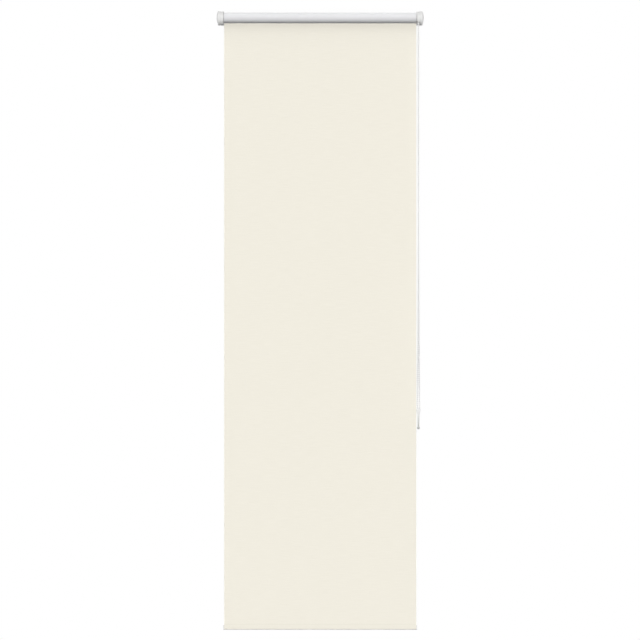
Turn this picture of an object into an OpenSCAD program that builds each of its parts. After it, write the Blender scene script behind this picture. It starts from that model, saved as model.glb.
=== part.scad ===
// Blackout roller blind: a coated sheet on a tube between two wall brackets, worked by a bead chain.
// The origin lies on the wall, midway between the brackets and level with the roller's axis.
// +X runs to the chain side, +Y into the wall and +Z up. The blind is shown fully lowered.

/* [Fabric] */
// Width of the fabric
fabric_w = 557; // [300:1:1400]
// Distance from the roller's axis down to the lower edge of the hem
drop = 1772; // [1300:1:2400]
// Thickness of the coated fabric
fabric_t = 0.35; // [0.25:0.05:0.5]
// Turns of fabric left on the tube when the blind is down
turns_left = 4; // [2:1:5]
// Slack between one turn and the next
turn_slack = 0.05; // [0.02:0.01:0.1]

/* [Roller tube] */
// Outer diameter of the tube
tube_d = 28; // [26:0.5:29]
// Wall of the tube
tube_wall = 1; // [0.8:0.1:1.2]
// How far the tube stops short of the fabric's edge at each end
tube_inset = 1; // [0.5:0.1:1.2]
// Number of key ribs inside the tube
key_count = 4; // [2:1:6]
// Width of a key rib
key_w = 2.4; // [1.5:0.1:3]
// Height of a key rib
key_h = 1.2; // [0.8:0.1:1.5]

/* [Hem] */
// Height of the hem bar
bar_h = 11.5; // [10:0.5:20]
// Thickness of the hem bar
bar_t = 3.5; // [3:0.1:5]
// Wall of the hem bar
bar_wall = 0.8; // [0.6:0.1:1]
// Slack of the pocket round the bar
pocket_slack = 0.3; // [0.2:0.05:0.5]
// Height over which the fold draws in from the pocket to the weld
fold_h = 1.5; // [1:0.1:3]
// Height of the welded strip above the fold
weld_h = 2.5; // [2:0.5:8]
// Thickness of an end cap's head
cap_t = 2; // [1.5:0.1:3]
// How far an end cap's head stands proud of the pocket all round
cap_lip = 0.3; // [0.1:0.1:0.8]
// Bevel round an end cap's head
cap_bevel = 0.7; // [0.3:0.1:1]
// Length of an end cap's tongue in the bar
cap_tongue = 12; // [6:1:25]

/* [Brackets] */
// Distance from the wall to the roller's axis
axis_off = 26; // [25:0.5:32]
// Radius of a bracket's round nose
bracket_r = 20; // [19.5:0.25:22]
// Thickness of a bracket's side plate
plate_t = 3; // [2.5:0.1:4]
// Thickness of a bracket's wall and ceiling flanges
flange_t = 3; // [2:0.1:3.2]
// Depth of the ceiling flange, out from the wall
ceiling_flange_d = 13; // [11:0.5:14]
// Diameter of a screw hole
screw_hole_d = 4.5; // [3.5:0.1:5]
// Distance between a bracket's two wall screws
wall_hole_pitch = 24; // [20:1:26]
// How far the flanges reach in past the end collar's face
flange_reach = 1; // [0:0.1:1.2]
// Leg of the small ribs that stiffen the wall flange
gusset = 2.8; // [1.5:0.1:3]
// Distance between those ribs
gusset_pitch = 10; // [6:0.5:13]
// Thickness of those ribs
gusset_t = 2; // [1.5:0.1:3]

/* [Bracket covers] */
// Depth of a cover
cover_depth = 7; // [5:0.5:10]
// Wall of a cover
cover_wall = 1.6; // [1.2:0.1:2]
// Share of a cover's depth that its crowned face takes up
cover_crown = 0.62; // [0.4:0.02:0.66]
// Radius round the rim of that face
cover_rim = 2; // [1.8:0.1:2.2]
// Diameter of a cover's pegs
peg_d = 4; // [3:0.1:5]
// Distance of the pegs from the axis
peg_reach = 11.5; // [10.5:0.5:12]

/* [End collars] */
// Gap between the fabric's edge and a collar
end_gap = 1.5; // [1.3:0.1:3]
// Length of a collar
collar_l = 10; // [9.5:0.1:13]
// Radius of a collar at its bracket
collar_r = 19; // [18.5:0.1:19.2]
// Radius of a collar at the roller
collar_nose_r = 16.8; // [16.6:0.1:17.5]
// Wall of the idle end's collar
collar_wall = 1.8; // [1.2:0.1:2]
// Thickness of that collar's front
collar_front = 1.4; // [1:0.1:1.8]
// Length of the ring that clips it to the bracket's boss
clip_l = 6; // [4:0.5:8]
// Wall of that ring and thickness of its ribs
clip_wall = 1.2; // [0.8:0.1:1.6]

/* [Chain] */
// Diameter of a bead
bead_d = 4.5; // [4:0.1:4.6]
// Distance from bead to bead
bead_pitch = 6; // [5.6:0.1:6.1]
// Diameter of the cord through the beads
cord_d = 1.3; // [1:0.1:1.6]
// Beads in each hanging strand
strand_beads = 189; // [70:7:210]
// Pockets round the chain wheel
pockets = 12; // [10:2:12]

/* [Chain wheel and brake] */
// Width of the chain wheel
wheel_w = 6.6; // [6.2:0.1:6.8]
// How far the wheel's rim stops short of the beads' centres
wheel_rim = 0.2; // [0.1:0.1:0.6]
// Diameter of the fixed shaft
shaft_d = 9; // [8:0.1:9.5]
// Wall of the wheel's sleeve
sleeve_wall = 2.9; // [2.6:0.1:3.1]
// How far the sleeve reaches into the roller
sleeve_l = 14; // [10:0.5:18]
// How far the fixed shaft reaches into the roller
shaft_l = 32; // [30:0.5:45]
// Radius of the fixed shaft's flange
spindle_flange_r = 16; // [15.5:0.1:16.5]
// Thickness of that flange
spindle_flange_t = 2; // [1.5:0.1:2.2]
// Height of the key that seats in the bracket
seat_key_h = 10; // [8:0.5:14]
// Width of that key
seat_key_w = 6; // [4:0.5:8]
// Thickness of the housing's wall beside the wheel
housing_wall = 0.8; // [0.6:0.1:1]
// Wire of the brake springs
brake_wire = 0.95; // [0.6:0.05:1]
// Turns of a brake spring
brake_turns = 5; // [3:1:5]

/* [Roller ends] */
// Thickness of the flange that meets the tube's end
plug_flange_t = 1.5; // [1:0.1:1.6]
// Walls of the hollow plugs in the tube's ends
plug_wall = 1.5; // [1.2:0.1:1.8]
// Thickness of the ribs between those walls
plug_rib = 1.2; // [0.8:0.1:1.6]
// Length of the drive hub inside the tube
hub_l = 36; // [35:1:60]
// Length of the idle plug inside the tube
plug_l = 30; // [28:1:50]
// Diameter of the idle pin
pin_d = 5; // [4:0.1:6]
// Wall of the bracket's boss round the idle pin
boss_wall = 3; // [2.5:0.1:3.5]
// Diameter of the idle pin's shoulder
shoulder_d = 8.8; // [8:0.1:9.4]
// How far the idle pin stands out of the fabric's edge
pin_reach = 10.5; // [8.5:0.1:11]
// Travel of the idle pin into the plug
pin_travel = 9.5; // [9:0.1:10]
// Wire of the idle pin's spring
pin_wire = 0.8; // [0.6:0.05:1]

/* [Chain pull] */
// Height of the joiner that takes both ends of the chain
joiner_h = 18; // [14:0.5:26]
// Radius of the joiner's shoulders
joiner_r = 3; // [2.8:0.1:4]
// Distance of each bead socket from the joiner's middle
socket_x = 3.3; // [2.9:0.1:5]
// Length of the pull weight below the joiner
weight_l = 42; // [30:1:60]
// Diameter of the pull weight's stem at the joiner
stem_d = 5.8; // [5:0.1:7]
// Diameter of that stem at the knob
stem_tip_d = 4.6; // [4:0.1:5]
// Diameter of the pull weight's knob
knob_d = 8; // [7:0.1:12]

/* [Fits] */
// Radial gap of a turning fit
run_gap = 0.075; // [0.05:0.005:0.1]
// Gap of a seated fit
seat_gap = 0.15; // [0.1:0.05:0.2]
// Gap kept clear round what turns or hangs free
free_gap = 0.3; // [0.25:0.05:0.4]

/* [Hidden] */
$fn = 64;
cut = 1; // how far a cutting tool or a fused piece runs past the face that it meets
coil_steps = 20; // points in one turn of a coil
seam_turn = 45; // keeps a peg's seam off the seams of the shell that it joins

// The roll and the hanging sheet
turn_pitch = fabric_t + turn_slack;
roll_r = tube_d / 2 + turns_left * turn_pitch;
sheet_y = -axis_off + roll_r - fabric_t / 2; // middle of the sheet's thickness
tube_r = tube_d / 2 - tube_wall; // inside of the tube

// The hem, from its lower edge up
pocket_t = bar_t + 2 * (pocket_slack + fabric_t);
pocket_h = bar_h + 2 * (pocket_slack + fabric_t);
hem_h = pocket_h + fold_h + weld_h;
hem_y = sheet_y + (pocket_t - fabric_t) / 2; // the hem is level with the sheet at the front
bar_z = -drop + pocket_h / 2;

// Places along an end, counted outward from the fabric's edge
plate_u = end_gap + collar_l;
cover_u = plate_u + plate_t;
flange_u = end_gap - flange_reach; // inner edge of the wall and ceiling flanges
screw_u = (flange_u + plate_u) / 2;
spindle_flange_u = plate_u - spindle_flange_t;
wheel_low_u = end_gap + housing_wall; // wall of the wheel's chamber
wheel_u = (wheel_low_u + spindle_flange_u) / 2; // middle of the chain
plug_flange_u = plug_flange_t - tube_inset;

// The collars' outside is an arc that meets the bracket squarely
collar_bulge = collar_r - collar_nose_r;
collar_arc_r = (collar_bulge ^ 2 + collar_l ^ 2) / (2 * collar_bulge);

// The covers' face is part of a ball
crown_h = cover_crown * cover_depth;
crown_r = (bracket_r ^ 2 + crown_h ^ 2) / (2 * crown_h);
crown_steps = 8;
rim_steps = 5;

// The chain: a half turn over the wheel, and two strands that draw together at the joiner
wheel_pitch_r = bead_pitch / (2 * sin(180 / pockets));
chamber_r = wheel_pitch_r + bead_d / 2 + 2 * free_gap; // clear of the beads on the wheel
chain_x = fabric_w / 2 + wheel_u;
chain_l = strand_beads * bead_pitch;
strand_runs = 7; // straight runs that make up the slight curve of a strand
strand_curve = 4; // power of that curve: the strands part mostly near the joiner
socket_d = bead_d + 2 * free_gap;
socket_spare = 1; // depth of a bead socket beyond its bead
socket_l = bead_d + socket_spare;
joiner_z = -chain_l + socket_l - bead_d / 2; // top of the joiner

// The drive, from the fixed shaft outward: the wheel's sleeve, the brake springs and the hub round them
bore_d = shaft_d + 2 * run_gap;
sleeve_d = bore_d + 2 * sleeve_wall;
drive_r = sleeve_d / 2 + seat_gap; // bore of the drive hub
end_play = 1; // gaps along the shaft, between the sleeve, the springs and the hub's lug
brake_r = (shaft_d + brake_wire) / 2 + 2 * run_gap;
brake_pitch = brake_wire + 2 * run_gap;
brake_l = brake_turns * brake_pitch + brake_wire; // length of one brake spring
brake_outer_u = -sleeve_l - end_play - brake_l + brake_wire / 2; // where each brake spring starts
brake_inner_u = brake_outer_u - brake_l - end_play / 2;
lug_r = brake_r + brake_wire / 2 + free_gap; // inside of the lugs that push the springs' ends
tongue_l = 6; // the sleeve's driving tongue
tongue_angle = 90;
lug_angle = 60;
lug_at = 195; // the hub's lug stands clear of the tongue
washer_t = 1;
washer_lip = 2; // how far the washer reaches past the shaft
washer_d = shaft_d + 2 * washer_lip;
pilot_d = 2.7; // hole for the retaining screw
pilot_l = 10;

// The idle pin and its plug
pin_bore = pin_d + 2 * run_gap;
chamber_d = shoulder_d + 2 * seat_gap;
mouth_l = 3; // wall that holds the pin's shoulder
shoulder_t = 3;
pin_stem_d = 4;
plug_cap_t = 1.5;
plug_cap_spigot = 3;
pin_spring_l = plug_l - plug_cap_spigot - (mouth_l - plug_flange_u) - shoulder_t;
pin_spare = 2; // room left behind the stem with the pin pressed in
pin_stem_l = pin_spring_l - pin_travel - pin_spare;
pin_spring_turns = 6;
boss_d = pin_d + 2 * boss_wall;
boss_u = end_gap + collar_front + seat_gap; // the boss starts behind the collar's front
bore_end_u = pin_reach + plate_t / 2;

// Small shared shapes

// An upright slot shape of the given width and height
module stadium(w, h) {
  translate([-w / 2, -(h - w) / 2]) square([w, h - w]);
  for (side = [-1, 1])
    translate([0, side * (h - w) / 2]) circle(d = w);
}

// Runs a section drawn in the YZ plane along X, centred
module across(length) {
  translate([-length / 2, 0, 0]) rotate([90, 0, 90]) linear_extrude(length) children();
}

// The frame of one end: x up, y to the room and z outward from the fabric's edge, on the axis
module end_frame(side) {
  mirror([side < 0 ? 1 : 0, 0, 0])
    translate([fabric_w / 2, -axis_off, 0])
      multmatrix([[0, 0, 1, 0], [0, -1, 0, 0], [1, 0, 0, 0], [0, 0, 0, 1]])
        children();
}

// A round nose to the room with straight sides back to the wall
module arch_outline(r) {
  intersection() {
    circle(r);
    translate([-r, 0]) square([2 * r, r]);
  }
  translate([-r, -axis_off]) square([2 * r, axis_off]);
}

// Sweeps a half section round the nose and straight back to the wall
module arch_sweep() {
  rotate_extrude(angle = 180) children();
  for (side = [0, 1])
    mirror([side, 0, 0]) rotate([90, 0, 0]) linear_extrude(axis_off) children();
}

// A half section of a cover, taken in by inset: a crowned face with a rounded rim
module cover_half(inset) {
  ball_z = cover_depth - crown_r;
  rim_r = bracket_r - cover_rim;
  rim_z = ball_z + sqrt((crown_r - cover_rim) ^ 2 - rim_r ^ 2);
  meet = atan2(rim_r, rim_z - ball_z); // where the face turns into the rim
  face = [for (i = [0 : crown_steps])
    let (a = i * meet / crown_steps)
      [0, ball_z] + (crown_r - inset) * [sin(a), cos(a)]];
  rim = [for (i = [1 : rim_steps])
    let (a = meet + i * (90 - meet) / rim_steps)
      [rim_r, rim_z] + (cover_rim - inset) * [sin(a), cos(a)]];
  polygon(concat([[0, 0]], face, rim, [[bracket_r - inset, 0]]));
}

// A round of the given bore, cut out of what it meets
module bore(d, from, to) {
  translate([0, 0, from]) cylinder(d = d, h = to - from);
}

// Part of a ring, from radius r_in to r_out
module ring_sector(r_in, r_out, angle, height) {
  rotate_extrude(angle = angle) translate([r_in, 0]) square([r_out - r_in, height]);
}

// A wire wound on radius r, where section is the wire's outline
module coil(r, length, turns, section) {
  sides = len(section);
  last = turns * coil_steps;
  points = [for (i = [0 : last], p = section)
    let (angle = 360 * i / coil_steps, out = r + p[0])
      [out * cos(angle), out * sin(angle), p[1] + length * i / last]];
  walls = [for (i = [0 : last - 1], k = [0 : sides - 1])
    let (a = i * sides + k, b = i * sides + (k + 1) % sides, c = b + sides, d = a + sides)
      each [[a, c, b], [a, d, c]]];
  start = [for (k = [1 : sides - 2]) [0, k, k + 1]];
  end = [for (k = [1 : sides - 2]) [last * sides, last * sides + k + 1, last * sides + k]];
  polyhedron(points, concat(walls, start, end));
}

// Roller tube: an aluminium extrusion with key ribs along its inside
module roller_tube() {
  color("silver")
    across(fabric_w - 2 * tube_inset)
      translate([-axis_off, 0]) {
        difference() {
          circle(d = tube_d);
          circle(tube_r);
        }
        for (i = [0 : key_count - 1])
          rotate(i * 360 / key_count)
            translate([tube_r - key_h, -key_w / 2]) square([key_h + tube_wall / 2, key_w]);
      }
}

// Fabric left on the tube: a spiral of two arcs to the turn, which ends at the back, where the sheet leaves
module fabric_roll() {
  span = 4 * roll_r;
  color("gainsboro")
    across(fabric_w)
      translate([-axis_off, 0])
        difference() {
          union() {
            intersection() {
              translate([turn_pitch / 4, 0]) circle(roll_r - turn_pitch / 4);
              translate([-span / 2, 0]) square([span, span]);
            }
            intersection() {
              translate([-turn_pitch / 4, 0]) circle(roll_r - 3 * turn_pitch / 4);
              translate([-span / 2, -span]) square([span, span]);
            }
          }
          circle(d = tube_d);
        }
}

// Hanging sheet, from the back of the roll down to the hem
module fabric_sheet() {
  color("cornsilk")
    translate([-fabric_w / 2, sheet_y - fabric_t / 2, -drop + hem_h])
      cube([fabric_w, fabric_t, drop - hem_h]);
}

// Hem: the fabric folded to the back round the bar and welded to itself above it
module fabric_hem() {
  front = sheet_y - fabric_t / 2;
  fold_z = -drop + pocket_h + fold_h; // foot of the weld
  color("cornsilk")
    across(fabric_w) {
      difference() {
        hull() {
          translate([hem_y, bar_z]) stadium(pocket_t, pocket_h);
          translate([front, fold_z - fabric_t]) square([2 * fabric_t, fabric_t]);
        }
        hull() {
          translate([hem_y, bar_z]) stadium(bar_t + 2 * pocket_slack, bar_h + 2 * pocket_slack);
          translate([front + fabric_t, fold_z - fabric_t]) square([fabric_t / 4, fabric_t / 2]);
        }
      }
      translate([front, fold_z - fabric_t / 2]) square([2 * fabric_t, weld_h + fabric_t / 2]);
    }
}

// Hem bar: a flat steel tube with rounded edges
module hem_bar() {
  color("white")
    across(fabric_w)
      translate([hem_y, bar_z])
        difference() {
          stadium(bar_t, bar_h);
          stadium(bar_t - 2 * bar_wall, bar_h - 2 * bar_wall);
        }
}

// Plastic cap on one end of the hem bar, with a tongue inside it
module hem_cap(side) {
  tongue_fit = 2 * (bar_wall + seat_gap);
  head_w = pocket_t + 2 * cap_lip;
  head_h = pocket_h + 2 * cap_lip;
  color("whitesmoke")
    mirror([side < 0 ? 1 : 0, 0, 0])
      translate([fabric_w / 2, hem_y, bar_z])
        rotate([90, 0, 90]) {
          hull() {
            linear_extrude(cap_t - cap_bevel) stadium(head_w, head_h);
            linear_extrude(cap_t) stadium(head_w - 2 * cap_bevel, head_h - 2 * cap_bevel);
          }
          translate([0, 0, -cap_tongue])
            linear_extrude(cap_tongue + cap_t / 2) stadium(bar_t - tongue_fit, bar_h - tongue_fit);
        }
}

// What both brackets share: side plate, wall flange, ceiling flange and their holes
module bracket_body() {
  flange_w = cover_u - flange_u;
  difference() {
    union() {
      translate([0, 0, plate_u]) linear_extrude(plate_t) arch_outline(bracket_r);
      translate([-bracket_r, -axis_off, flange_u]) cube([2 * bracket_r, flange_t, flange_w]);
      translate([bracket_r - flange_t, -axis_off, flange_u])
        cube([flange_t, ceiling_flange_d, flange_w]);
      for (side = [-1, 1])
        translate([side * gusset_pitch / 2 - gusset_t / 2, -axis_off + flange_t, plate_u])
          rotate([90, 0, 90]) linear_extrude(gusset_t) polygon([[0, 0], [gusset, 0], [0, -gusset]]);
    }
    for (side = [-1, 1])
      translate([side * wall_hole_pitch / 2, -axis_off - cut, screw_u])
        rotate([-90, 0, 0]) cylinder(d = screw_hole_d, h = flange_t + 2 * cut);
    translate([bracket_r - flange_t - cut, -axis_off + (flange_t + ceiling_flange_d) / 2, screw_u])
      rotate([0, 90, 0]) cylinder(d = screw_hole_d, h = flange_t + 2 * cut);
    for (side = [-1, 1])
      translate([side * peg_reach, 0, 0]) bore(peg_d + 2 * seat_gap, plate_u - cut, cover_u + cut);
  }
}

// Bracket of the chain side, with the slot that the fixed shaft's key seats in
module control_bracket() {
  slot_h = seat_key_h + 2 * seat_gap;
  slot_w = seat_key_w + 2 * seat_gap;
  color("white")
    end_frame(1)
      difference() {
        bracket_body();
        translate([-slot_h / 2, -slot_w / 2, plate_u - cut])
          cube([slot_h, slot_w, plate_t + 2 * cut]);
      }
}

// Bracket of the idle side, with the boss that the idle pin turns in
module idle_bracket() {
  color("white")
    end_frame(-1)
      difference() {
        union() {
          bracket_body();
          bore(boss_d, boss_u, plate_u + plate_t / 2);
        }
        bore(pin_bore, boss_u - cut, bore_end_u);
      }
}

// Snap-on cover of a bracket: a shell with a crowned face, held by two pegs
module bracket_cover(side) {
  face_u = cover_u + cover_depth - crown_r + sqrt(crown_r ^ 2 - peg_reach ^ 2); // the face over the pegs
  color("whitesmoke")
    end_frame(side) {
      translate([0, 0, cover_u])
        arch_sweep()
          difference() {
            cover_half(0);
            cover_half(cover_wall);
          }
      for (peg = [-1, 1])
        translate([peg * peg_reach, 0, 0])
          rotate(seam_turn) bore(peg_d, plate_u + seat_gap, face_u - cover_wall / 2);
    }
}

// Half section of a collar's bulged outside, taken in by inset
module collar_half(inset) {
  intersection() {
    translate([collar_r - collar_arc_r, plate_u]) circle(collar_arc_r - inset);
    translate([0, end_gap]) square([collar_r, collar_l]);
  }
}

// Housing round the chain wheel, with a slot below for each strand of the chain
module clutch_housing() {
  slot = bead_d + 4 * free_gap;
  slot_top = bead_d / 2; // the slots start half a bead below the axis
  color("white")
    end_frame(1)
      difference() {
        rotate_extrude() collar_half(0);
        bore(2 * chamber_r, wheel_low_u, plate_u + cut);
        bore(2 * (spindle_flange_r + seat_gap), spindle_flange_u, plate_u + cut);
        bore(sleeve_d + 4 * free_gap, end_gap - cut, plate_u);
        for (side = [-1, 1])
          translate([-collar_r - cut, side * wheel_pitch_r - slot / 2, wheel_u - slot / 2])
            cube([collar_r + cut - slot_top, slot, slot]);
      }
}

// Fixed shaft of the brake: a flange against the bracket, and a key in its slot
module clutch_spindle() {
  color("gainsboro")
    end_frame(1)
      difference() {
        union() {
          bore(2 * spindle_flange_r, spindle_flange_u, plate_u);
          bore(shaft_d, -shaft_l, plate_u);
          translate([-seat_key_h / 2, -seat_key_w / 2, plate_u - spindle_flange_t / 2])
            cube([seat_key_h, seat_key_w, plate_t + spindle_flange_t / 2 - seat_gap]);
        }
        bore(pilot_d, -shaft_l - cut, -shaft_l + pilot_l);
      }
}

// Brake spring: square wire wound on the fixed shaft
module brake_spring(from) {
  half = brake_wire / 2;
  color("dimgray")
    end_frame(1)
      translate([0, 0, from])
        coil(brake_r, brake_l - brake_wire, brake_turns,
          [[-half, -half], [half, -half], [half, half], [-half, half]]);
}

// Chain wheel: a rim with a pocket for each bead, on a sleeve that drives the hub
module chain_wheel() {
  low = wheel_u - wheel_w / 2;
  rim_r = wheel_pitch_r - wheel_rim;
  groove_w = cord_d + 2 * free_gap;
  groove_r = wheel_pitch_r - bead_d / 2 - 2 * free_gap; // just deeper than the pockets
  color("whitesmoke")
    end_frame(1)
      difference() {
        union() {
          bore(2 * rim_r, low, low + wheel_w);
          bore(sleeve_d, -sleeve_l, low + wheel_w / 2);
          translate([0, 0, -sleeve_l - tongue_l])
            ring_sector(lug_r, sleeve_d / 2, tongue_angle, tongue_l + cut);
        }
        bore(bore_d, -sleeve_l - tongue_l - cut, low + wheel_w + cut);
        translate([0, 0, wheel_u - groove_w / 2])
          ring_sector(groove_r, rim_r + cut, 360, groove_w);
        for (i = [0 : pockets - 1])
          rotate(i * 360 / pockets)
            translate([0, wheel_pitch_r, wheel_u]) rotate([90, 0, 0]) sphere(d = bead_d + 2 * free_gap);
      }
}

// What both roller ends share: a flange, and a shell slotted for the tube's key ribs, ribbed to a core
module tube_plug(length, core_r) {
  shell_r = tube_r - seat_gap;
  step = 360 / key_count;
  slot_w = key_w + 2 * seat_gap;
  slot_r = tube_r - key_h - 2 * free_gap; // floor of a key slot, just inside the shell
  body_l = length - tube_inset / 2;
  bore(tube_d - 2 * seat_gap, -tube_inset, plug_flange_u);
  bore(2 * core_r, -length, -tube_inset / 2);
  translate([0, 0, -length])
    for (i = [0 : key_count - 1])
      rotate(i * step) {
        difference() {
          ring_sector(shell_r - plug_wall, shell_r, step, body_l);
          for (turn = [0, step])
            rotate(turn)
              translate([slot_r, -slot_w / 2, -cut]) cube([tube_r, slot_w, length - tube_inset + cut]);
        }
        for (quarter = [1, 3])
          rotate(quarter * step / 4)
            translate([core_r - plug_wall / 2, -plug_rib / 2, 0])
              cube([shell_r - core_r, plug_rib, body_l]);
      }
}

// Drive hub: turns the tube, and its lug pushes the ends of the brake springs
module drive_hub() {
  wall_u = -shaft_l + free_gap; // inner wall, held by the washer
  wall_t = 1.5;
  color("gainsboro")
    end_frame(1)
      difference() {
        union() {
          difference() {
            tube_plug(hub_l, drive_r + plug_wall);
            bore(2 * drive_r, -hub_l - cut, plug_flange_u + cut);
          }
          bore(2 * drive_r + wall_t, wall_u, wall_u + wall_t);
          translate([0, 0, wall_u + wall_t / 2])
            rotate(lug_at)
              ring_sector(lug_r, drive_r + wall_t / 2, lug_angle, shaft_l - sleeve_l - wall_t - end_play);
        }
        bore(bore_d, -hub_l - cut, plug_flange_u + cut);
      }
}

// Washer that keeps the hub on the fixed shaft
module retaining_washer() {
  color("silver")
    end_frame(1)
      difference() {
        bore(washer_d, -shaft_l - washer_t, -shaft_l);
        bore(pilot_d + 2 * seat_gap, -shaft_l - washer_t - cut, -shaft_l + cut);
      }
}

// Screw in the end of the fixed shaft
module retaining_screw() {
  head_d = 7;
  head_t = 2;
  slot_l = 4;
  slot_w = 0.8;
  slot_t = 1;
  head_u = -shaft_l - washer_t - head_t;
  color("silver")
    end_frame(1)
      difference() {
        union() {
          bore(head_d, head_u, head_u + head_t);
          bore(pilot_d - seat_gap, head_u + head_t / 2, -shaft_l + pilot_l - end_play);
        }
        for (turn = [0, 90])
          rotate(turn)
            translate([-slot_l / 2, -slot_w / 2, head_u - cut]) cube([slot_l, slot_w, slot_t + cut]);
      }
}

// Turns +Z to point from a to b, with the origin at a
module aim(a, b) {
  d = (b - a) / norm(b - a);
  translate(a) rotate([0, acos(d.z), atan2(d.y, d.x)]) children();
}

// A point on a strand, from the wheel at t = 0 to the joiner at t = 1. Side -1 is the front strand.
function strand_point(side, t) = [
  chain_x + side * socket_x * t ^ strand_curve,
  -axis_off + side * wheel_pitch_r * (1 - t),
  -chain_l * t
];

// A bead's centre on the wheel, from the back over the top to the front
function wheel_point(i) = [
  chain_x,
  -axis_off + wheel_pitch_r * cos(360 * i / pockets),
  wheel_pitch_r * sin(360 * i / pockets)
];

// One straight run of beads on their cord, which ends in the next run's first bead
module chain_run(a, b, beads) {
  run = norm(b - a);
  aim(a, b)
    rotate_extrude()
      intersection() {
        union() {
          square([cord_d / 2, run]);
          for (i = [0 : beads - 1])
            translate([0, i * run / beads]) circle(d = bead_d);
        }
        translate([0, -bead_d]) square([bead_d, run + 2 * bead_d]);
      }
}

// Bead chain: over the wheel, and both strands down to the joiner
module bead_chain() {
  $fn = 24; // hundreds of small beads
  half = pockets / 2;
  color("white") {
    for (i = [1 : half - 1])
      translate(wheel_point(i)) sphere(d = bead_d);
    for (i = [0 : half - 1])
      aim(wheel_point(i), wheel_point(i + 1)) cylinder(d = cord_d, h = bead_pitch);
    for (side = [-1, 1]) {
      for (i = [0 : strand_runs - 1])
        chain_run(strand_point(side, i / strand_runs), strand_point(side, (i + 1) / strand_runs),
          strand_beads / strand_runs);
      translate(strand_point(side, 1)) sphere(d = bead_d);
    }
  }
}

// Joiner at the foot of the chain, with a socket for the last bead of each strand
module chain_joiner() {
  spigot = stem_d / 2;
  foot_t = 1;
  color("whitesmoke")
    translate([chain_x, -axis_off, joiner_z])
      difference() {
        hull($fn = 32) {
          for (side = [-1, 1])
            translate([side * socket_x, 0, -joiner_r]) sphere(joiner_r, $fn = 32);
          translate([0, 0, -joiner_h]) cylinder(d = stem_d, h = foot_t, $fn = 32);
        }
        for (side = [-1, 1])
          translate([side * socket_x, 0, 0]) bore(socket_d, -socket_l, cut);
        bore(spigot + 2 * seat_gap, -joiner_h - cut, -joiner_h + spigot + seat_gap);
      }
}

// Pull weight under the joiner: a slim stem with a round knob
module pull_weight() {
  spigot = stem_d / 2;
  knob_z = -joiner_h - weight_l + knob_d / 2;
  color("whitesmoke")
    translate([chain_x, -axis_off, joiner_z]) {
      bore(spigot, -joiner_h - cut, -joiner_h + spigot);
      translate([0, 0, knob_z])
        cylinder(d1 = stem_tip_d, d2 = stem_d, h = -joiner_h - knob_z);
      translate([0, 0, knob_z]) sphere(d = knob_d);
    }
}

// Collar of the idle side: a shell over the bracket's boss, with ribs to its clip ring
module idle_collar() {
  ring_r = boss_d / 2 + seat_gap;
  color("white")
    end_frame(-1)
      difference() {
        union() {
          difference() {
            rotate_extrude() collar_half(0);
            difference() {
              rotate_extrude() collar_half(collar_wall);
              bore(2 * collar_r, end_gap - cut, boss_u - seat_gap);
            }
          }
          bore(2 * (ring_r + clip_wall), end_gap, end_gap + clip_l);
          intersection() {
            rotate_extrude() collar_half(collar_wall / 2);
            for (turn = [0, 90])
              rotate(turn)
                translate([-collar_r, -clip_wall / 2, end_gap]) cube([2 * collar_r, clip_wall, clip_l]);
          }
        }
        bore(2 * ring_r, boss_u - seat_gap, plate_u + cut);
        bore(pin_bore + 2 * free_gap, end_gap - cut, plate_u);
      }
}

// Idle plug: carries the sprung pin in a chamber behind its mouth
module idle_plug() {
  color("gainsboro")
    end_frame(-1)
      difference() {
        tube_plug(plug_l, chamber_d / 2 + plug_wall);
        bore(pin_bore, -plug_l, plug_flange_u + cut);
        bore(chamber_d, -plug_l - cut, plug_flange_u - mouth_l);
      }
}

// Cap on the inner end of the idle plug, which the spring seats on
module idle_plug_cap() {
  color("gainsboro")
    end_frame(-1) {
      bore(chamber_d + 2 * plug_wall, -plug_l - plug_cap_t, -plug_l);
      bore(shoulder_d, -plug_l - plug_cap_t / 2, -plug_l + plug_cap_spigot);
    }
}

// Idle pin: its nose turns in the bracket's boss, and its shoulder stops it in the plug
module idle_pin() {
  shoulder_u = plug_flange_u - mouth_l;
  nose = 0.8;
  color("silver")
    end_frame(-1) {
      bore(pin_d, shoulder_u - shoulder_t / 2, pin_reach - nose);
      translate([0, 0, pin_reach - nose]) cylinder(d1 = pin_d, d2 = pin_d - 2 * nose, h = nose);
      bore(shoulder_d, shoulder_u - shoulder_t, shoulder_u);
      bore(pin_stem_d, shoulder_u - shoulder_t - pin_stem_l, shoulder_u - shoulder_t / 2);
    }
}

// Spring behind the idle pin's shoulder, round its stem
module idle_pin_spring() {
  shoulder_u = plug_flange_u - mouth_l - shoulder_t;
  wire_r = pin_wire / 2;
  wire_sides = 6;
  wound_r = (shoulder_d - pin_wire) / 2 - seat_gap;
  color("dimgray")
    end_frame(-1)
      translate([0, 0, shoulder_u - pin_spring_l + wire_r])
        coil(wound_r, pin_spring_l - pin_wire, pin_spring_turns,
          [for (k = [0 : wire_sides - 1]) wire_r * [cos(360 * k / wire_sides), sin(360 * k / wire_sides)]]);
}

roller_tube();
fabric_roll();
fabric_sheet();
fabric_hem();
hem_bar();
hem_cap(-1);  // hem_cap_left
hem_cap(1);  // hem_cap_right
control_bracket();
bracket_cover(1);  // control_cover
clutch_housing();
clutch_spindle();
brake_spring(brake_outer_u);  // brake_spring_outer
brake_spring(brake_inner_u);  // brake_spring_inner
chain_wheel();
drive_hub();
retaining_washer();
retaining_screw();
bead_chain();
chain_joiner();
pull_weight();
idle_bracket();
bracket_cover(-1);  // idle_cover
idle_collar();
idle_plug();
idle_plug_cap();
idle_pin();
idle_pin_spring();
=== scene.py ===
# Blackout roller blind: a coated sheet on a tube between two wall brackets, worked by a bead chain.
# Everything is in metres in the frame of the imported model: +X to the chain side, +Y into the wall, +Z up.
import math

import bmesh
import bpy
from mathutils import Matrix, Vector


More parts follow.
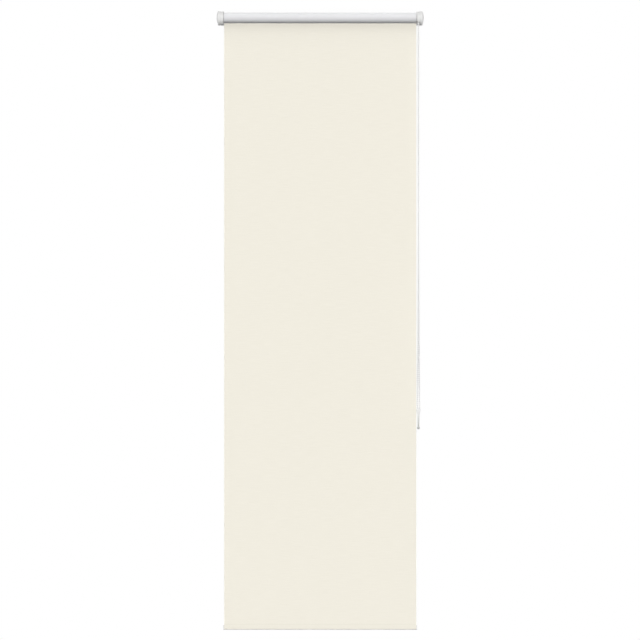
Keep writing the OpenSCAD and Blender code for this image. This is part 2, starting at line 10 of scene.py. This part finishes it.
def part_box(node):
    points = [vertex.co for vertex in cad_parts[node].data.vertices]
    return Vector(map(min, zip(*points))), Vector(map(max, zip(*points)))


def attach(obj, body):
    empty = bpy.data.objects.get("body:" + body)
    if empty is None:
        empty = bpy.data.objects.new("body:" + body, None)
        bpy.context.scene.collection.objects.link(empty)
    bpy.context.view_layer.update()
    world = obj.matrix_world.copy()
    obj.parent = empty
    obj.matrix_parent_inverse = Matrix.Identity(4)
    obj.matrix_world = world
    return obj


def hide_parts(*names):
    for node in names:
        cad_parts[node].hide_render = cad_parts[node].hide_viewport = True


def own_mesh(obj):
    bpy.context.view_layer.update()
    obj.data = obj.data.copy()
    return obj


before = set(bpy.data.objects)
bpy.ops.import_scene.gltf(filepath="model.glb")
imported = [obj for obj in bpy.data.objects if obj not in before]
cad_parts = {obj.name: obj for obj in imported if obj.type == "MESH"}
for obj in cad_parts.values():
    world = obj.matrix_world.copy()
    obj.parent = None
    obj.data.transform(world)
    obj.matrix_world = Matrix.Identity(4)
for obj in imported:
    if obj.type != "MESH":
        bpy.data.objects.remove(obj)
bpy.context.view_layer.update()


# Studio
# The blind hangs free before a white surround, with lamps at both sides of the front, above and behind. The
# fabric has front lamps of its own. The fittings have a lower pair and a weak lamp from below. The camera is
# square to the middle of the drop, far back.
PICTURE_SPAN = 1.8539  # what the picture takes in across the plane of the blind
PICTURE_CENTRE = Vector((-0.0006, -0.02, -0.8743))
CAMERA_DISTANCE = 12.0
CAMERA_REACH = 100.0  # how far it sees
# Each lamp's strength, then degrees: how wide it looks, how high it is and how far round to the right
LAMPS = {
    "left_fabric_lamp": (1.71, 24, 12, -50),
    "right_fabric_lamp": (1.64, 24, 12, 50),
    "left_lamp": (1.73, 24, 3, -50),
    "right_lamp": (1.73, 24, 3, 50),
    "low_lamp": (0.22, 40, -55, 0),
    "high_lamp": (0.30, 30, 45, 0),
    "back_lamp": (1.4, 24, 20, 180),
}
WHITE = (1, 1, 1, 1)
SURROUND_LIGHT = 0.30
SURROUND_SLOPE = 0.2  # how much brighter than that it is overhead, and darker underfoot
FLOOR_Z = -2.05
FLOOR_RADIUS = 14.0
FLOOR_SIDES = 64
FLOOR_COLOUR = (0.80, 0.80, 0.79, 1)
FLOOR_FADE = (0.5, 1.6)  # the floor turns into the white surround between these distances


def add_node(tree, kind, inputs=(), **properties):
    """A shader node with its properties set, and its inputs given as values or as sockets that feed them."""
    made = tree.nodes.new("ShaderNode" + kind)
    for name, value in properties.items():
        setattr(made, name, value)
    for key, value in dict(inputs).items():
        if isinstance(value, bpy.types.NodeSocket):
            tree.links.new(value, made.inputs[key])
        else:
            made.inputs[key].default_value = value
    return made


def background_seen(tree):
    """1 where the background is looked at, straight, in a reflection or through something clear, else 0."""
    path = add_node(tree, "LightPath")
    seen = path.outputs["Is Camera Ray"]
    for other in ("Is Glossy Ray", "Is Transmission Ray"):
        seen = add_node(tree, "Math", {0: seen, 1: path.outputs[other]}, operation="MAXIMUM").outputs[0]
    return seen


scene = bpy.context.scene
scene.view_settings.view_transform = "Standard"

camera = bpy.data.objects.new("camera", bpy.data.cameras.new("camera"))
scene.collection.objects.link(camera)
scene.camera = camera
camera.data.lens = camera.data.sensor_width * CAMERA_DISTANCE / PICTURE_SPAN
camera.data.clip_end = CAMERA_REACH
camera.location = PICTURE_CENTRE - Vector((0, CAMERA_DISTANCE, 0))
camera.rotation_euler = (math.pi / 2, 0, 0)

for name, (strength, width, height, turn) in LAMPS.items():
    lamp = bpy.data.objects.new(name, bpy.data.lights.new(name, "SUN"))
    scene.collection.objects.link(lamp)
    lamp.data.energy = strength
    lamp.data.angle = math.radians(width)
    lamp.rotation_euler = (math.radians(90 - height), 0, math.radians(turn))

fabric = bpy.data.collections.new("fabric")  # what the fabric lamps light
flat_fabric = bpy.data.collections.new("flat_fabric")  # all that keeps their light back
fittings = bpy.data.collections.new("fittings")  # what the fittings' lamps light: all that isn't left out
not_floor = bpy.data.collections.new("not_floor")  # what keeps the light from below back: all but the floor
for name in ("left_fabric_lamp", "right_fabric_lamp"):
    bpy.data.objects[name].light_linking.receiver_collection = fabric
    bpy.data.objects[name].light_linking.blocker_collection = flat_fabric
for name in ("left_lamp", "right_lamp", "low_lamp"):
    bpy.data.objects[name].light_linking.receiver_collection = fittings
bpy.data.objects["low_lamp"].light_linking.blocker_collection = not_floor


def leave_out(piece, collection):
    """Makes a collection for light linking stand for everything but this piece."""
    collection.objects.link(piece)
    collection.collection_objects[-1].light_linking.link_state = "EXCLUDE"


def light_as_fabric(piece):
    """Puts a piece under the fabric lamps instead of the fittings' lamps."""
    fabric.objects.link(piece)
    leave_out(piece, fittings)


world = bpy.data.worlds.new("surround")
world.use_nodes = True
scene.world = world
tree = world.node_tree
surround = tree.nodes["Background"]
surround.inputs["Color"].default_value = WHITE
up = add_node(tree, "SeparateXYZ", {0: add_node(tree, "TexCoord").outputs["Generated"]}).outputs["Z"]
shed = add_node(tree, "Math", {0: up, 1: SURROUND_SLOPE, 2: SURROUND_LIGHT}, operation="MULTIPLY_ADD")
shown = add_node(tree, "Mix", {0: background_seen(tree), 2: shed.outputs[0], 3: 1.0})
tree.links.new(shown.outputs[0], surround.inputs["Strength"])

floor_material = bpy.data.materials.new("floor")
floor_material.use_nodes = True
tree = floor_material.node_tree
tree.nodes.remove(tree.nodes["Principled BSDF"])
place = add_node(tree, "TexCoord").outputs["Object"]
reach = add_node(tree, "VectorMath", {0: place}, operation="LENGTH").outputs["Value"]
fade = add_node(
    tree,
    "MapRange",
    {"Value": reach, "From Min": FLOOR_FADE[0], "From Max": FLOOR_FADE[1]},
    interpolation_type="SMOOTHSTEP",
).outputs["Result"]
share = add_node(tree, "Math", {0: fade, 1: background_seen(tree)}, operation="MULTIPLY").outputs[0]
paint = add_node(tree, "BsdfDiffuse", {"Color": FLOOR_COLOUR}).outputs["BSDF"]
white = add_node(tree, "Emission", {"Color": WHITE, "Strength": 1.0}).outputs["Emission"]
seen_above = add_node(tree, "MixShader", {0: share, 1: paint, 2: white}).outputs["Shader"]
seen_below = add_node(tree, "BsdfTransparent").outputs["BSDF"]
below = add_node(tree, "NewGeometry").outputs["Backfacing"]
either = add_node(tree, "MixShader", {0: below, 1: seen_above, 2: seen_below}).outputs["Shader"]
tree.links.new(either, tree.nodes["Material Output"].inputs["Surface"])

bm = bmesh.new()
bmesh.ops.create_circle(bm, cap_ends=True, segments=FLOOR_SIDES, radius=FLOOR_RADIUS)
floor_mesh = bpy.data.meshes.new("floor")
bm.to_mesh(floor_mesh)
bm.free()
floor_mesh.materials.append(floor_material)
floor = bpy.data.objects.new("floor", floor_mesh)
floor.location.z = FLOOR_Z
floor.visible_diffuse = False  # it throws no light up at the blind
scene.collection.objects.link(floor)
light_as_fabric(floor)
leave_out(floor, not_floor)


# Roller tube
# An aluminium extrusion with key ribs inside, cut a little shorter than the fabric is wide. Drawing through
# the die leaves fine lines along it. Only the rims of its ends can be seen, within the wound fabric.
ALUMINIUM = ((0.62, 0.63, 0.64, 1), (0.74, 0.75, 0.76, 1))
DRAWN_PITCH = 0.0004  # width of a drawn line
DRAWN_STRETCH = 0.01  # lines run on far longer than they are wide
DRAWN_BROAD = 0.12  # scale of the slow changes from line to line


def new_pattern(name, stretch=(1, 1, 1)):
    """An empty shader node group for a pattern, and the place on a piece, stretched and counted in Sizes."""
    group = bpy.data.node_groups.new(name, "ShaderNodeTree")
    group.interface.new_socket("Vector", in_out="INPUT", socket_type="NodeSocketVector")
    group.interface.new_socket("Size", in_out="INPUT", socket_type="NodeSocketFloat")
    group.interface.new_socket("Tone", in_out="OUTPUT", socket_type="NodeSocketFloat")
    group.interface.new_socket("Height", in_out="OUTPUT", socket_type="NodeSocketFloat")
    given = group.nodes.new("NodeGroupInput").outputs
    place = given["Vector"]
    stretched = add_node(group, "VectorMath", {0: place, 1: stretch}, operation="MULTIPLY").outputs[0]
    per_size = add_node(group, "Math", {0: 1.0, 1: given["Size"]}, operation="DIVIDE").outputs[0]
    counted = add_node(group, "VectorMath", {0: stretched, "Scale": per_size}, operation="SCALE").outputs[0]
    return group, counted


def put_out(group, tone, height):
    """Finishes a pattern: Tone runs a surface's colour and roughness, and Height its relief."""
    made = group.nodes.new("NodeGroupOutput")
    group.links.new(tone, made.inputs["Tone"])
    group.links.new(height, made.inputs["Height"])
    return group


def noise(group, place, scale=1.0, detail=2.0):
    """Soft noise over a place."""
    return add_node(group, "TexNoise", {"Vector": place, "Scale": scale, "Detail": detail}).outputs[0]


def drawn_lines():
    """Fine lines along X, as a die leaves them, with a tone that varies slowly from line to line."""
    group, counted = new_pattern("drawn_lines", stretch=(DRAWN_STRETCH, 1, 1))
    return put_out(group, tone=noise(group, counted, DRAWN_BROAD, detail=1.0), height=noise(group, counted))


def surface(name, pattern, size, colours, roughness, depth, **plain):
    """A material on Object coordinates. The pattern's Tone runs its colour and roughness between two values,
    and its Height stands depth high. What is plain all over is set on the shader's own sockets."""
    material = bpy.data.materials.new(name)
    material.use_nodes = True
    tree = material.node_tree
    shader = tree.nodes["Principled BSDF"]
    place = add_node(tree, "TexCoord").outputs["Object"]
    skin = add_node(tree, "Group", node_tree=pattern)
    tree.links.new(place, skin.inputs["Vector"])
    skin.inputs["Size"].default_value = size
    tone = skin.outputs["Tone"]
    colour = add_node(tree, "Mix", {0: tone, 6: colours[0], 7: colours[1]}, data_type="RGBA")
    rough = add_node(tree, "MapRange", {"Value": tone, "To Min": roughness[0], "To Max": roughness[1]})
    bump = add_node(tree, "Bump", {"Distance": depth, "Height": skin.outputs["Height"]})
    tree.links.new(colour.outputs[2], shader.inputs["Base Color"])
    tree.links.new(rough.outputs["Result"], shader.inputs["Roughness"])
    tree.links.new(bump.outputs["Normal"], shader.inputs["Normal"])
    for label, value in plain.items():
        shader.inputs[label.replace("_", " ")].default_value = value
    return material


def dress(material, *names):
    """Gives CAD nodes, which keep their shape, their material."""
    for name in names:
        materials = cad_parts[name].data.materials
        materials.clear()
        materials.append(material)


lines = drawn_lines()
aluminium = surface(
    "aluminium",
    lines,
    size=DRAWN_PITCH,
    colours=ALUMINIUM,
    roughness=(0.28, 0.42),
    depth=0.00002,
    Metallic=1.0,
)
dress(aluminium, "roller_tube")


# Fabric on the roller
# Polyester cloth with a foamed blackout coating, wound so that the coated side shows. Each turn is an arc
# below the axis and a larger one above it, and the last ends at the back, where the hanging sheet goes on.
FABRIC_T = 0.00035
TURNS = 3
TURN_PITCH = 0.0004
ARC_STEPS = 40
SHARP = math.radians(40)  # edges that turn further than this stay crisp
COATING = ((0.70, 0.70, 0.715, 1), (0.76, 0.76, 0.77, 1))
COATING_GRAIN = 0.0007
CLOUD_SCALE = 45.0  # of the slow changes of tone, to the metre
CLOUD_SHARE = 0.6  # of the tone, beside the grain
roll_low, roll_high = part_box("fabric_roll")
fabric_w = roll_high.x - roll_low.x
sheet_low, sheet_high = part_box("fabric_sheet")
sheet_y = (sheet_low.y + sheet_high.y) / 2
tube_low, tube_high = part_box("roller_tube")
axis_y = (tube_low.y + tube_high.y) / 2


def fine_grain():
    """Closely packed grain, as on foam or moulded plastic, over slow changes of tone."""
    group, counted = new_pattern("fine_grain")
    grains = noise(group, counted)
    clouds = noise(group, group.nodes["Group Input"].outputs["Vector"], CLOUD_SCALE)
    tone = add_node(group, "Mix", {0: CLOUD_SHARE, 2: grains, 3: clouds}).outputs[0]
    return put_out(group, tone=tone, height=grains)


class FabricRun:
    """A strip as wide as the fabric, laid out from one edge by straight runs and turns about the X axis."""

    def __init__(self, y, z):
        self.bm = bmesh.new()
        ends = [self.bm.verts.new((side * fabric_w / 2, y, z)) for side in (-1, 1)]
        self.edge = self.bm.edges.new(ends)

    def straight(self, dy, dz):
        made = bmesh.ops.extrude_edge_only(self.bm, edges=[self.edge])["geom"]
        ends = [v for v in made if isinstance(v, bmesh.types.BMVert)]
        bmesh.ops.translate(self.bm, vec=(0, dy, dz), verts=ends)
        self.edge = self.bm.edges.get(ends)

    def turn(self, y, z, degrees, steps):
        made = bmesh.ops.spin(
            self.bm,
            geom=[*self.edge.verts, self.edge],
            cent=(0, y, z),
            axis=(1, 0, 0),
            angle=math.radians(degrees),
            steps=steps,
            use_merge=False,
        )
        self.edge = next(e for e in made["geom_last"] if isinstance(e, bmesh.types.BMEdge))

    def face(self, direction):
        """Turns the whole strip over, if need be, so that its first face looks that way."""
        bmesh.ops.recalc_face_normals(self.bm, faces=self.bm.faces)
        self.bm.faces.ensure_lookup_table()
        if self.bm.faces[0].normal.dot(direction) < 0:
            bmesh.ops.reverse_faces(self.bm, faces=self.bm.faces)


def add_piece(name, bm, *materials):
    """A piece of the blind from a finished bmesh, smooth except at its sharp edges."""
    mesh = bpy.data.meshes.new(name)
    for face in bm.faces:
        face.smooth = True
    bm.to_mesh(mesh)
    bm.free()
    mesh.set_sharp_from_angle(angle=SHARP)
    for material in materials:
        mesh.materials.append(material)
    piece = bpy.data.objects.new(name, mesh)
    scene.collection.objects.link(piece)
    return piece


def thicken(piece, back_slot):
    """Gives a strip the fabric's thickness, half to each side, with another material on its back and rim."""
    wall = piece.modifiers.new("thickness", "SOLIDIFY")
    wall.thickness = FABRIC_T
    wall.offset = 0
    wall.material_offset = back_slot
    wall.material_offset_rim = back_slot
    thick = bpy.data.meshes.new_from_object(piece.evaluated_get(bpy.context.evaluated_depsgraph_get()))
    piece.modifiers.clear()
    piece.data = thick
    thick.set_sharp_from_angle(angle=SHARP)


grain = fine_grain()
coating = surface(
    "coating",
    grain,
    size=COATING_GRAIN,
    colours=COATING,
    roughness=(0.62, 0.78),
    depth=0.00003,
    Specular_IOR_Level=0.2,
    Sheen_Weight=0.04,
)
start_r = sheet_y - axis_y - TURNS * TURN_PITCH
run = FabricRun(axis_y + start_r, 0)
for _ in range(TURNS):
    run.turn(axis_y - TURN_PITCH / 4, 0, -180, ARC_STEPS)  # from the back, under the tube, to the front
    run.turn(axis_y + TURN_PITCH / 4, 0, -180, ARC_STEPS)  # over the top to the back again
run.face((0, 1, 0))
roll = add_piece("wound_fabric", run.bm, coating)
thicken(roll, 0)
light_as_fabric(roll)
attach(roll, "roller")
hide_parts("fabric_roll")


# Hanging sheet
# The same cloth let down behind the roller: cream plain weave to the room, pale coating to the window. Its
# edges are cut by heat and curl a little, and it bows slightly between the roller and the hem.
CREAM = ((0.80, 0.765, 0.665, 1), (0.90, 0.868, 0.775, 1))
THREAD_PITCH = 0.00042
FLAT = (1, 0, 1)  # keeps a pattern the same through the cloth
ONE_BAND = math.tau / 20  # the scale at which a wave has one band to each unit
SLUB_STRETCH = (0.02, 1, 0.6)  # the thicker places of a cross thread run along it
SLUB_SCALE = 0.5
SLUB_SHARE = 0.65  # of the tone, beside the threads
SHEET_COLUMNS = 56
SHEET_ROWS = 120
BOW = 0.0012  # how far the middle stands out to the room
EDGE_CURL = 0.0014
EDGE_CURL_WIDTH = 0.02


def bands(group, place, way, scale):
    """Even bands across X, across Z or slanted."""
    inputs = {"Vector": place, "Scale": scale}
    return add_node(group, "TexWave", inputs, wave_type="BANDS", bands_direction=way).outputs["Fac"]


def plain_weave():
    """Threads over and under each other across X and Z. Tone also follows the slubs of the cross threads."""
    group, counted = new_pattern("plain_weave", stretch=FLAT)
    warp, weft = (bands(group, counted, way, ONE_BAND) for way in ("X", "Z"))
    over = add_node(group, "TexChecker", {"Vector": counted, "Scale": 1.0}).outputs["Fac"]
    threads = add_node(group, "Mix", {0: over, 2: warp, 3: weft}).outputs[0]
    drawn_out = add_node(group, "VectorMath", {0: counted, 1: SLUB_STRETCH}, operation="MULTIPLY").outputs[0]
    slubs = noise(group, drawn_out, SLUB_SCALE)
    tone = add_node(group, "Mix", {0: SLUB_SHARE, 2: threads, 3: slubs}).outputs[0]
    return put_out(group, tone=tone, height=threads)


cream = surface(
    "cream_weave",
    plain_weave(),
    size=THREAD_PITCH,
    colours=CREAM,
    roughness=(0.75, 0.9),
    depth=0.00003,
    Specular_IOR_Level=0.2,
    Sheen_Weight=0.06,
)
sheet_l = sheet_high.z - sheet_low.z
bm = bmesh.new()
bmesh.ops.create_grid(bm, x_segments=SHEET_COLUMNS, y_segments=SHEET_ROWS, size=0.5)  # a square of side 1
bmesh.ops.scale(bm, vec=(fabric_w, sheet_l, 1), verts=bm.verts)
bmesh.ops.rotate(bm, matrix=Matrix.Rotation(math.pi / 2, 3, "X"), verts=bm.verts)
bmesh.ops.translate(bm, vec=(0, sheet_y, (sheet_low.z + sheet_high.z) / 2), verts=bm.verts)
for v in bm.verts:
    let_out = math.sin(math.pi * (sheet_high.z - v.co.z) / sheet_l)  # held at the roller and at the hem
    from_edge = fabric_w / 2 - abs(v.co.x)
    bow = BOW * math.cos(math.pi * v.co.x / fabric_w)
    curl = EDGE_CURL * math.exp(-from_edge / EDGE_CURL_WIDTH)
    v.co.y += let_out * (curl - bow)
sheet = add_piece("hanging_sheet", bm, cream, coating)
thicken(sheet, 1)
sheet.visible_diffuse = False  # it throws no light up at the roll, whose underside stays dark
light_as_fabric(sheet)
flat_fabric.objects.link(sheet)
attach(sheet, "mount")
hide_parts("fabric_sheet")
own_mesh(sheet)


# Hem
# The foot of the sheet is folded to the back round the hem bar and welded to itself in a narrow strip above
# it. The front stays flat, and the weld presses a row of fine slanted lines into the two plies.
WELD_H = 0.0025
FOLD_H = 0.0015  # from the top of the pocket's round to the weld
WELD_LINE = 0.0011  # from one pressed line to the next
WELD_DEPTH = 0.00008
PRESSED_CREAM = ((0.77, 0.738, 0.635, 1), (0.875, 0.842, 0.74, 1))
HEM_STEPS = 12
hem_low, hem_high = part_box("fabric_hem")
hem_y = (hem_low.y + hem_high.y) / 2
pocket_r = (hem_high.y - hem_low.y - FABRIC_T) / 2  # from the pocket's middle to the middle of a ply
foot_z = hem_low.z + FABRIC_T / 2 + pocket_r  # middle of the pocket's lower round
weld_z = hem_high.z - WELD_H
head_z = weld_z - FOLD_H - FABRIC_T / 2 - pocket_r  # middle of its upper round


def slanted_lines():
    """Slanted lines, as a weld presses them into cloth or the strands of a twisted cord make them."""
    group, counted = new_pattern("slanted_lines", stretch=FLAT)
    slants = bands(group, counted, "DIAGONAL", ONE_BAND / math.sqrt(2))
    return put_out(group, tone=slants, height=slants)


slanted = slanted_lines()
cream_weld = surface(
    "cream_weld",
    slanted,
    size=WELD_LINE,
    colours=PRESSED_CREAM,
    roughness=(0.5, 0.7),
    depth=WELD_DEPTH,
    Specular_IOR_Level=0.3,
)
coating_weld = surface(
    "coating_weld",
    slanted,
    size=WELD_LINE,
    colours=COATING,
    roughness=(0.4, 0.6),
    depth=WELD_DEPTH,
    Specular_IOR_Level=0.4,
)
# The rear ply leaves the upper round where a straight run meets the back of the weld.
weld_back = Vector((sheet_y + FABRIC_T - hem_y, weld_z - head_z))
lean = math.atan2(weld_back.y, weld_back.x) - math.acos(pocket_r / weld_back.length)
leaves = pocket_r * Vector((math.cos(lean), math.sin(lean)))
run = FabricRun(sheet_y, hem_high.z)
run.straight(0, -WELD_H)
run.straight(0, foot_z - weld_z)
run.turn(hem_y, foot_z, 180, HEM_STEPS)
run.straight(0, head_z - foot_z)
run.turn(hem_y, head_z, math.degrees(lean), HEM_STEPS // 2)
run.straight(*(weld_back - leaves))
run.straight(0, WELD_H)
run.face((0, -1, 0))
for face in run.bm.faces:
    face.material_index = 1 if face.calc_center_median().z > weld_z else 0
hem = add_piece("hem_pocket", run.bm, cream, cream_weld, coating, coating_weld)
thicken(hem, 2)
light_as_fabric(hem)
flat_fabric.objects.link(hem)
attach(hem, "hem")
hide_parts("fabric_hem")


# Hem bar and its end caps
# A flat steel tube with rounded edges, painted white, which keeps the sheet straight by its weight. A cap
# moulded in white plastic is pressed into each end.
PAINTED_STEEL = ((0.74, 0.74, 0.725, 1), (0.80, 0.80, 0.785, 1))
PAINT_GRAIN = 0.0015
WHITE_PLASTIC = ((0.70, 0.70, 0.692, 1), (0.77, 0.77, 0.762, 1))
MOULDED_GRAIN = 0.0006
painted_steel = surface(
    "painted_steel",
    grain,
    size=PAINT_GRAIN,
    colours=PAINTED_STEEL,
    roughness=(0.25, 0.4),
    depth=0.00002,
)
white_plastic = surface(
    "white_plastic",
    grain,
    size=MOULDED_GRAIN,
    colours=WHITE_PLASTIC,
    roughness=(0.5, 0.62),
    depth=0.000012,
    Specular_IOR_Level=0.4,
)
dress(painted_steel, "hem_bar")
dress(white_plastic, "hem_cap_left", "hem_cap_right")


# Idle end of the roller
# A grey moulded plug, keyed to the tube, holds a steel pin that turns in the bracket's boss. A wound spring
# behind its shoulder keeps it out. Pressed in, the pin lets the roller out of its brackets.
GREY_PLASTIC = ((0.40, 0.40, 0.405, 1), (0.48, 0.48, 0.485, 1))
ZINC = ((0.58, 0.59, 0.61, 1), (0.76, 0.76, 0.77, 1))
SPRING_STEEL = ((0.16, 0.165, 0.18, 1), (0.32, 0.32, 0.34, 1))
PLATED_GRAIN = 0.0003
PIN_WIRE = 0.0008
PIN_TURNS = 6
WIRE_SIDES = 8
COIL_STEPS = 24  # to each turn


def wind(bm, start, radius, sides, angle, steps, advance=0.0):
    """Winds a round wire about the roller's axis, from a ring placed by a matrix, and on along X by steps."""
    ring = bmesh.ops.create_circle(bm, segments=sides, radius=radius, matrix=start)["verts"]
    edges = dict.fromkeys(edge for v in ring for edge in v.link_edges)
    bmesh.ops.spin(
        bm,
        geom=[*ring, *edges],
        cent=(0, axis_y, 0),
        axis=(1, 0, 0),
        dvec=(advance, 0, 0),
        angle=angle,
        steps=steps,
        use_merge=False,
    )
    bmesh.ops.holes_fill(bm, edges=bm.edges, sides=sides)
    bmesh.ops.recalc_face_normals(bm, faces=bm.faces)


grey_plastic = surface(
    "grey_plastic",
    grain,
    size=MOULDED_GRAIN,
    colours=GREY_PLASTIC,
    roughness=(0.38, 0.55),
    depth=0.00002,
)
zinc = surface(
    "zinc_plate",
    grain,
    size=PLATED_GRAIN,
    colours=ZINC,
    roughness=(0.2, 0.38),
    depth=0.000006,
    Metallic=1.0,
)
spring_steel = surface(
    "spring_steel",
    lines,
    size=DRAWN_PITCH,
    colours=SPRING_STEEL,
    roughness=(0.25, 0.45),
    depth=0.000008,
    Metallic=1.0,
)
dress(grey_plastic, "idle_plug", "idle_plug_cap")
dress(zinc, "idle_pin")

spring_low, spring_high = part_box("idle_pin_spring")
spring_l = spring_high.x - spring_low.x
wound_r = (spring_high.z - spring_low.z - PIN_WIRE) / 2
outer_end = Matrix.Translation((spring_high.x - PIN_WIRE / 2, axis_y, wound_r))
bm = bmesh.new()
wind(
    bm,
    outer_end @ Matrix.Rotation(math.pi / 2, 4, "X"),
    radius=PIN_WIRE / 2,
    sides=WIRE_SIDES,
    angle=math.tau * PIN_TURNS,
    steps=PIN_TURNS * COIL_STEPS,
    advance=-(spring_l - PIN_WIRE) / (PIN_TURNS * COIL_STEPS),
)
pin_spring = add_piece("pin_spring", bm, spring_steel)
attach(pin_spring, "roller")
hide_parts("idle_pin_spring")
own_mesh(pin_spring)


# Brackets, covers and the idle collar
# Injection moulded in white plastic with a fine satin grain. The brackets screw to the wall or the ceiling,
# the covers snap over their outer sides and the collar clips over the idle bracket's boss.
COVER_PLASTIC = ((0.71, 0.71, 0.702, 1), (0.76, 0.76, 0.752, 1))
cover_plastic = surface(
    "cover_plastic",
    grain,
    size=MOULDED_GRAIN,
    colours=COVER_PLASTIC,
    roughness=(0.46, 0.56),
    depth=0.000008,
    Specular_IOR_Level=0.4,
)
dress(white_plastic, "control_bracket", "idle_bracket", "idle_collar")
dress(cover_plastic, "control_cover", "idle_cover")


# Control end of the roller
# The chain wheel turns on a fixed shaft inside its housing and drives the hub in the tube. Two wrap springs
# grip the shaft until the chain loosens them, and a washer and a screw hold the hub on.
dress(white_plastic, "clutch_housing")
dress(grey_plastic, "clutch_spindle", "chain_wheel", "drive_hub")
dress(spring_steel, "brake_spring_outer", "brake_spring_inner")
dress(zinc, "retaining_washer", "retaining_screw")


# Bead chain
# White beads moulded at an even pitch onto a thin polyester cord. It runs over the wheel in a loop, and its
# two strands hang free to the joiner, which spreads them a little.
CORD_D = 0.0013
CORD_ROUNDNESS = 2  # bevel resolution, which gives the cord 8 sides
BEAD_D = 0.0045
BEAD_PITCH = 0.006
BEAD_SIDES = 8
BEAD_RINGS = 6
STRAND_BEADS = 189
STRAND_POINTS = 27
SOCKET_X = 0.0033  # from the joiner's middle to each strand's end
STRAND_CURVE = 4  # the strands part mostly near the joiner
WHEEL_POCKETS = 12
TWIST = 0.0009  # from one strand of the twisted cord to the next
BEAD_PLASTIC = ((0.78, 0.78, 0.775, 1), (0.84, 0.84, 0.835, 1))
BEAD_GRAIN = 0.004
CORD_FIBRE = ((0.68, 0.68, 0.675, 1), (0.82, 0.82, 0.81, 1))
chain_low, chain_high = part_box("bead_chain")
chain_x = (chain_low.x + chain_high.x) / 2
chain_l = STRAND_BEADS * BEAD_PITCH
wheel_r = BEAD_PITCH / (2 * math.sin(math.pi / WHEEL_POCKETS))
bead_plastic = surface(
    "bead_plastic",
    grain,
    size=BEAD_GRAIN,
    colours=BEAD_PLASTIC,
    roughness=(0.42, 0.55),
    depth=0.00002,
    Specular_IOR_Level=0.4,
)
cord_fibre = surface(
    "cord_fibre",
    slanted,
    size=TWIST,
    colours=CORD_FIBRE,
    roughness=(0.7, 0.9),
    depth=0.0001,
)


def wheel_point(pocket):
    """The middle of a bead in one of the wheel's pockets, counted from the back over the top to the front."""
    turned = math.tau * pocket / WHEEL_POCKETS
    return Vector((chain_x, axis_y + wheel_r * math.cos(turned), wheel_r * math.sin(turned)))


def strand_point(side, t):
    """A point on a strand, from the wheel at t = 0 to the joiner at t = 1. Side -1 is the front strand."""
    x = chain_x + side * SOCKET_X * t**STRAND_CURVE
    y = axis_y + side * wheel_r * (1 - t)
    return Vector((x, y, -chain_l * t))


def string_of_beads(centres):
    """Copies of one bead, with sides spread so that it fills as much as a round one."""
    radius = BEAD_D / 2 / math.sqrt(math.cos(math.pi / BEAD_SIDES))
    bm = bmesh.new()
    bmesh.ops.create_uvsphere(bm, u_segments=BEAD_SIDES, v_segments=BEAD_RINGS, radius=radius)
    bead = bpy.data.meshes.new("bead")
    bm.to_mesh(bead)
    bm.clear()
    for centre in centres:
        placed = bead.copy()
        placed.transform(Matrix.Translation(centre))
        bm.from_mesh(placed)
        bpy.data.meshes.remove(placed)
    bpy.data.meshes.remove(bead)
    return bm


bm = string_of_beads(wheel_point(pocket) for pocket in range(1, WHEEL_POCKETS // 2))
wind(
    bm,
    Matrix.Translation(wheel_point(0)),
    radius=CORD_D / 2,
    sides=BEAD_SIDES,
    angle=math.pi,
    steps=WHEEL_POCKETS,
)
over_wheel = add_piece("chain_over_wheel", bm, bead_plastic)
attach(over_wheel, "mount")

for side, strand in ((-1, "front"), (1, "rear")):
    route = [strand_point(side, i / STRAND_POINTS) for i in range(STRAND_POINTS + 1)]
    line = bpy.data.curves.new("cord_" + strand, "CURVE")
    line.dimensions = "3D"
    line.bevel_depth = CORD_D / 2
    line.bevel_resolution = CORD_ROUNDNESS
    line.use_fill_caps = True
    spline = line.splines.new("POLY")
    spline.points.add(STRAND_POINTS)
    for point, spot in zip(spline.points, route):
        point.co = (*spot, 1)
    line.materials.append(cord_fibre)
    cord = bpy.data.objects.new("cord_" + strand, line)
    scene.collection.objects.link(cord)

    bm = string_of_beads(strand_point(side, i / STRAND_BEADS) for i in range(STRAND_BEADS + 1))
    beads = add_piece("beads_" + strand, bm, bead_plastic)
    for piece in (cord, beads):
        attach(piece, "mount")
        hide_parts("bead_chain")


# Joiner and pull weight
# The joiner is a small milky moulding that takes the last bead of each strand. The weight below it is a slim
# tapered stem of smoky plastic with a round knob, to pull by. It grows darker towards the knob.
MILKY = ((0.83, 0.83, 0.82, 1), (0.87, 0.87, 0.86, 1))
SMOKY = ((0.48, 0.495, 0.47, 1), (0.84, 0.85, 0.83, 1))
FLOW_GRAIN = 0.003
STREAK_SHARE = 0.1  # what the streaks add to the tone
weight_low, weight_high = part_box("pull_weight")


def down_the_stem():
    """Slow streaks over a Tone that falls from 1 at the top of the weight to 0 in its knob."""
    group, counted = new_pattern("down_the_stem")
    height = add_node(group, "SeparateXYZ", {0: group.nodes["Group Input"].outputs["Vector"]}).outputs["Z"]
    fade = add_node(group, "MapRange", {"Value": height, "From Min": weight_low.z, "From Max": weight_high.z})
    streaks = noise(group, counted, detail=1.0)
    tone = add_node(
        group, "Math", {0: streaks, 1: STREAK_SHARE, 2: fade.outputs["Result"]}, operation="MULTIPLY_ADD"
    )
    return put_out(group, tone=tone.outputs[0], height=streaks)


milky = surface(
    "milky_plastic",
    grain,
    size=FLOW_GRAIN,
    colours=MILKY,
    roughness=(0.4, 0.52),
    depth=0.00001,
    Specular_IOR_Level=0.4,
)
smoky = surface(
    "smoky_plastic",
    down_the_stem(),
    size=FLOW_GRAIN,
    colours=SMOKY,
    roughness=(0.3, 0.42),
    depth=0.00001,
    Transmission_Weight=0.15,
    IOR=1.47,
)
dress(milky, "chain_joiner")
dress(smoky, "pull_weight")
